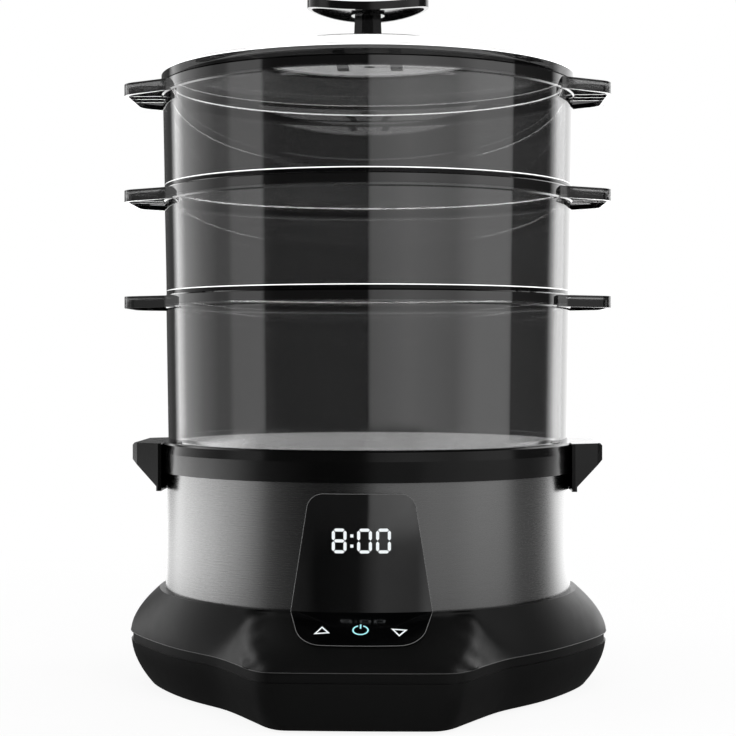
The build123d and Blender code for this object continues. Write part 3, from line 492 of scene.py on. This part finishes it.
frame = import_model()
slot_of = {part["node"]: part["material_slot"] for part in frame["record"]["subparts"]}
for name, node in frame["nodes"].items():
    node.data.materials.clear()
    node.data.materials.append(special.get(name, materials[slot_of[name]]))


# ---------------------------------------------------------------- painted highlights on the edges of panel and casing
PANEL_CREASE = math.radians(35)
PANEL_EDGE_RADIUS = 0.17 * MM
CASING_EDGE_HEIGHT = 30.2 * MM
CASING_EDGE_RADIUS = 0.22 * MM


def outer_border(node, crease, toward):
    """The closed loops of sharp edges round the faces of a node that look towards a direction."""
    mesh = bmesh.new()
    mesh.from_mesh(node.data)
    bmesh.ops.remove_doubles(mesh, verts=mesh.verts, dist=0.001 * MM)
    links = {}
    for edge in mesh.edges:
        if len(edge.link_faces) != 2 or edge.calc_face_angle(0.0) < crease:
            continue
        if max(face.normal.dot(toward) for face in edge.link_faces) < 0.5:
            continue
        a, b = edge.verts
        links.setdefault(a.index, []).append(b.index)
        links.setdefault(b.index, []).append(a.index)
    mesh.verts.ensure_lookup_table()
    places = {index: mesh.verts[index].co.copy() for index in links}
    mesh.free()
    loops, left = [], set(links)
    while left:
        start = left.pop()
        loop, here = [start], start
        while True:
            ahead = [index for index in links[here] if index in left]
            if not ahead:
                break
            here = ahead[0]
            left.discard(here)
            loop.append(here)
        loops.append([places[index] for index in loop])
    return loops


def hairline(name, points, radius, material, body):
    """A thin closed line as a curve."""
    data = bpy.data.curves.new(name, "CURVE")
    data.dimensions = "3D"
    data.bevel_depth = radius
    data.bevel_resolution = 2
    spline = data.splines.new("POLY")
    spline.points.add(len(points) - 1)
    for point, place in zip(spline.points, points):
        point.co = (*place, 1)
    spline.use_cyclic_u = True
    line = bpy.data.objects.new(name, data)
    bpy.context.scene.collection.objects.link(line)
    data.materials.append(material)
    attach(line, body)


def outline(node, height, count=240):
    """The node's outer face at one height, as points round the axis."""
    points = []
    for step in range(count):
        turn = 2 * math.pi * step / count
        outward = Vector((math.cos(turn), math.sin(turn), 0))
        start = outward * 2 * RIM_INSIDE + Vector((0, 0, height))
        points.append(node.ray_cast(start, -outward)[1])
    return points


def length_of(points):
    return sum((a - b).length for a, b in zip(points, points[1:]))


forward = Vector((0, -1, 0))
border = max(outer_border(frame["nodes"]["control_panel"], PANEL_CREASE, forward), key=length_of)
# a thin pale line round the panel, a painted highlight on its edge
panel_edge_highlight = moulded("panel_edge_highlight", grey(0.16), 0.25)
hairline("panel_edge_highlight", border, PANEL_EDGE_RADIUS, panel_edge_highlight, "base")
lip = outline(frame["nodes"]["upper_casing"], CASING_EDGE_HEIGHT)
# a thin grey line along the upper casing's lower edge, a painted highlight
casing_edge_highlight = moulded("casing_edge_highlight", grey(0.06), 0.30)
hairline("casing_edge_highlight", lip, CASING_EDGE_RADIUS, casing_edge_highlight, "base")


# ---------------------------------------------------------------- floor, world, lamps and camera
def floor():
    mesh = bmesh.new()
    bmesh.ops.create_circle(mesh, cap_ends=True, segments=96, radius=FLOOR_RADIUS)
    data = bpy.data.meshes.new("floor")
    mesh.to_mesh(data)
    mesh.free()
    s = new_shader("floor")
    speck = s.noise(3 * MM, 3.0)
    plain = s.add("BsdfDiffuse", Color=s.blend(speck, grey(FLOOR_COLOUR - 0.01), grey(FLOOR_COLOUR + 0.01)))
    glow = s.add("Emission", Color=grey(1.0), Strength=1.0)
    x, y, _ = s.add("SeparateXYZ", Vector=s.place()).outputs
    away = s.math("SQRT", s.math("MULTIPLY_ADD", x, x, s.math("MULTIPLY", y, y)))
    whiter = s.ramp(away, FLOOR_WHITE_FROM, FLOOR_WHITE_AT, 1 - FLOOR_SHADE_KEPT, 1.0)
    path = s.add("LightPath").outputs
    share = s.math("MULTIPLY", path["Is Camera Ray"], whiter)
    seen = s.add("MixShader", i0=share, i1=plain.outputs[0], i2=glow.outputs[0])
    dim = s.add("Emission", Color=grey(FLOOR_MIRRORED), Strength=1.0)
    through = s.add("BsdfTransparent", Color=grey(1.0))
    far = s.ramp(away, *FLOOR_MIRROR_ENDS)
    mirrored = s.add("MixShader", i0=far, i1=dim.outputs[0], i2=through.outputs[0])
    whole = s.add("MixShader", i0=path["Is Glossy Ray"], i1=seen.outputs[0], i2=mirrored.outputs[0])
    data.materials.append(s.surface(whole))
    plane = bpy.data.objects.new("floor", data)
    bpy.context.scene.collection.objects.link(plane)


def world():
    made = bpy.data.worlds.new("studio")
    bpy.context.scene.world = made
    s = Shader(made)
    x, y, z = s.add("SeparateXYZ", Vector=s.add("TexCoord").outputs["Generated"]).outputs
    turn = s.math("ARCTAN2", x, s.math("MULTIPLY", y, -1.0))
    share = s.math("MULTIPLY_ADD", turn, 1 / (2 * math.pi), 0.5)
    height = s.math("ARCSINE", z)
    cards = []
    for card_stops in (LOWER_CARDS, UPPER_CARDS):
        cards.append(s.add("ValToRGB", Fac=share))
        stops = cards[-1].color_ramp.elements
        while len(stops) < len(card_stops):
            stops.new(0.5)
        for stop, (degrees, level) in zip(stops, card_stops):
            stop.position = degrees / 360 + 0.5
            stop.color = grey(level / CARD_PEAK)
    above = s.ramp(height, *radians(CARD_SEAM))
    band = s.blend(above, cards[0].outputs[0], cards[1].outputs[0])
    brightness = s.ramp(height, *radians((FADE_FROM, FADE_AT)), CARD_PEAK, OVERHEAD)
    band = s.add("VectorMath", {"operation": "SCALE"}, Vector=band, Scale=brightness)
    foot_from, foot_to, head_from, head_to = radians(REAR_PANEL)
    over_foot = s.ramp(height, foot_from, foot_to)
    under_head = s.ramp(height, head_from, head_to, 1.0, 0.0)
    aside = s.math("SUBTRACT", math.pi, s.math("ABSOLUTE", turn))
    near_middle = s.ramp(aside, *radians(REAR_HALF), 1.0, 0.0)
    inside = s.math("MULTIPLY", s.math("MULTIPLY", over_foot, under_head), near_middle)
    band = s.blend(inside, band.outputs[0], grey(REAR_LEVEL))
    light = s.add("LightPath")
    shown = s.blend(light.outputs["Is Glossy Ray"], grey(AMBIENT), band)
    shown = s.blend(light.outputs["Is Camera Ray"], shown, grey(1.0))
    s.add("OutputWorld", Surface=s.add("Background", Color=shown, Strength=1.0).outputs[0])
    made.cycles.sampling_method = "NONE"


def looking_at(target, place):
    return (target - place).to_track_quat("-Z", "Y")


def softbox(number, azimuth, elevation, distance, width, height, watts):
    a, e = math.radians(azimuth), math.radians(elevation)
    centre = Vector((0, 0, LAMP_AIM))
    place = centre + distance * Vector((math.sin(a) * math.cos(e), -math.cos(a) * math.cos(e), math.sin(e)))
    data = bpy.data.lights.new(f"softbox_{number}", "AREA")
    data.shape = "RECTANGLE"
    data.size, data.size_y = width, height
    data.energy = watts
    lamp = bpy.data.objects.new(data.name, data)
    lamp.location = place
    lamp.rotation_mode = "QUATERNION"
    lamp.rotation_quaternion = looking_at(centre, place)
    lamp.visible_glossy = False
    bpy.context.scene.collection.objects.link(lamp)


def camera():
    data = bpy.data.cameras.new("camera")
    data.lens = LENS
    data.shift_y = LENS_SHIFT
    view = bpy.data.objects.new("camera", data)
    a = CAMERA_AZIMUTH
    view.location = (CAMERA_DISTANCE * math.sin(a), -CAMERA_DISTANCE * math.cos(a), CAMERA_HEIGHT)
    view.rotation_euler = (math.pi / 2, 0, a)
    bpy.context.scene.collection.objects.link(view)
    bpy.context.scene.camera = view


floor()
world()
for number, softbox_values in enumerate(SOFTBOXES):
    softbox(number, *softbox_values)
camera()
bpy.context.scene.view_settings.view_transform = "Standard"
